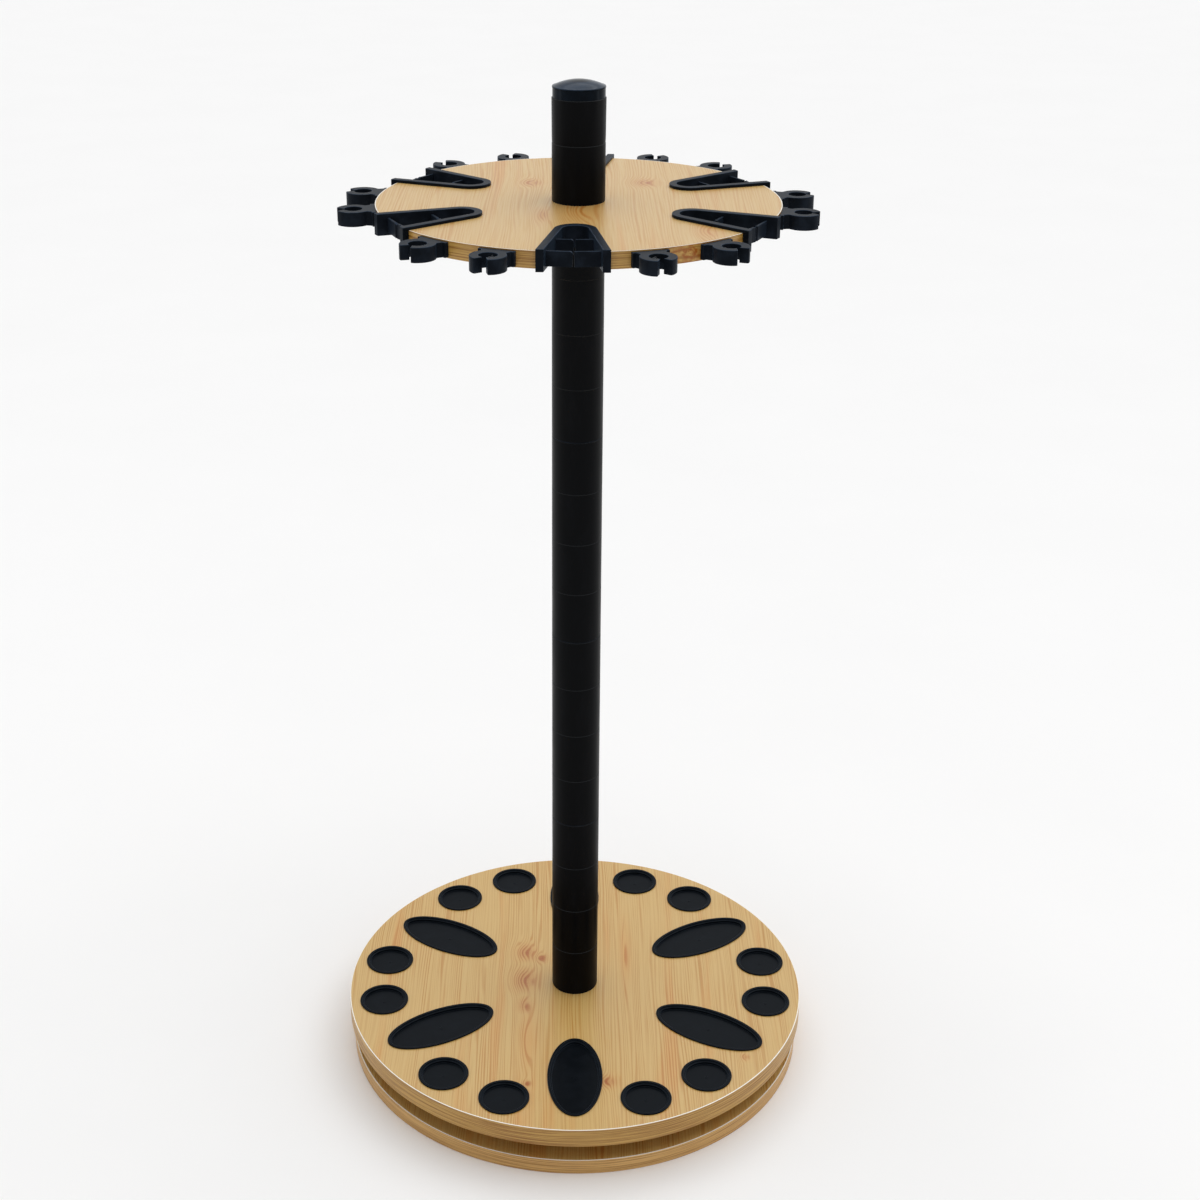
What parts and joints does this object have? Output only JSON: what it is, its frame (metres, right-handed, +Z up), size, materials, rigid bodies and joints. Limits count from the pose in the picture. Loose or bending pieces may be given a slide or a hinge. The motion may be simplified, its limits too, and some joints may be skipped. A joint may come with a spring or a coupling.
{
  "type": "rod rack",
  "caption": "Round floor rack that turns on a ball bearing, with cups in its base board and notched holders and ring clips round its top plate.",
  "frame": {"origin": "middle of the foot board's underside", "axes": "+Z up along the column; -Y to the front, where the first oval cup and the first notched holder lie"},
  "size_m": [0.3999, 0.4, 0.8396],
  "materials": {
    "wood_board": "pine print laminate, satin",
    "wood_edge": "pine print edge band, satin",
    "black_plastic": "fine satin",
    "tube_plastic": "semi-gloss",
    "race_steel": "turned, zinc plated",
    "ball_steel": "polished",
    "cage_plastic": "smooth",
    "zinc_steel": "bright zinc"
  },
  "bodies": {
    "foot": {"foot_disc": "wood_board", "foot_edge_band": "wood_edge", "lower_race": "race_steel", "lower_race_screws": "zinc_steel"},
    "balls": {"bearing_balls": "ball_steel", "ball_cage": "cage_plastic"},
    "rack": {"upper_race": "race_steel", "upper_race_screws": "zinc_steel", "base_disc": "wood_board", "base_edge_band": "wood_edge", "oval_cup_1": "black_plastic", "oval_cup_2": "black_plastic", "oval_cup_3": "black_plastic", "oval_cup_4": "black_plastic", "oval_cup_5": "black_plastic", "oval_cup_6": "black_plastic", "round_cup_1": "black_plastic", "round_cup_2": "black_plastic", "round_cup_3": "black_plastic", "round_cup_4": "black_plastic", "round_cup_5": "black_plastic", "round_cup_6": "black_plastic", "round_cup_7": "black_plastic", "round_cup_8": "black_plastic", "round_cup_9": "black_plastic", "round_cup_10": "black_plastic", "round_cup_11": "black_plastic", "round_cup_12": "black_plastic", "tie_rod": "zinc_steel", "tie_rod_nuts": "zinc_steel", "end_plugs": "black_plastic", "tube_couplers": "black_plastic", "tube_1": "tube_plastic", "tube_2": "tube_plastic", "tube_3": "tube_plastic", "tube_4": "tube_plastic", "handle_tube": "tube_plastic", "top_cap": "black_plastic", "top_plate": "wood_board", "plate_edge_band": "wood_edge", "holder_1": "black_plastic", "holder_2": "black_plastic", "holder_3": "black_plastic", "holder_4": "black_plastic", "holder_5": "black_plastic", "holder_6": "black_plastic", "clip_1": "black_plastic", "clip_2": "black_plastic", "clip_3": "black_plastic", "clip_4": "black_plastic", "clip_5": "black_plastic", "clip_6": "black_plastic", "clip_7": "black_plastic", "clip_8": "black_plastic", "clip_9": "black_plastic", "clip_10": "black_plastic", "clip_11": "black_plastic", "clip_12": "black_plastic", "clip_screws": "zinc_steel"}
  },
  "joints": [
    {"name": "rack_spin", "type": "hinge", "parent": "foot", "child": "rack", "pos_m": [0, 0, 0.02175], "axis": [0, 0, 1], "continuous": true},
    {"name": "ball_roll", "type": "hinge", "parent": "foot", "child": "balls", "pos_m": [0, 0, 0.02175], "axis": [0, 0, 1], "continuous": true}
  ],
  "couplings": [
    {"joint": "ball_roll", "follows": "rack_spin", "ratio": 0.5}
  ]
}
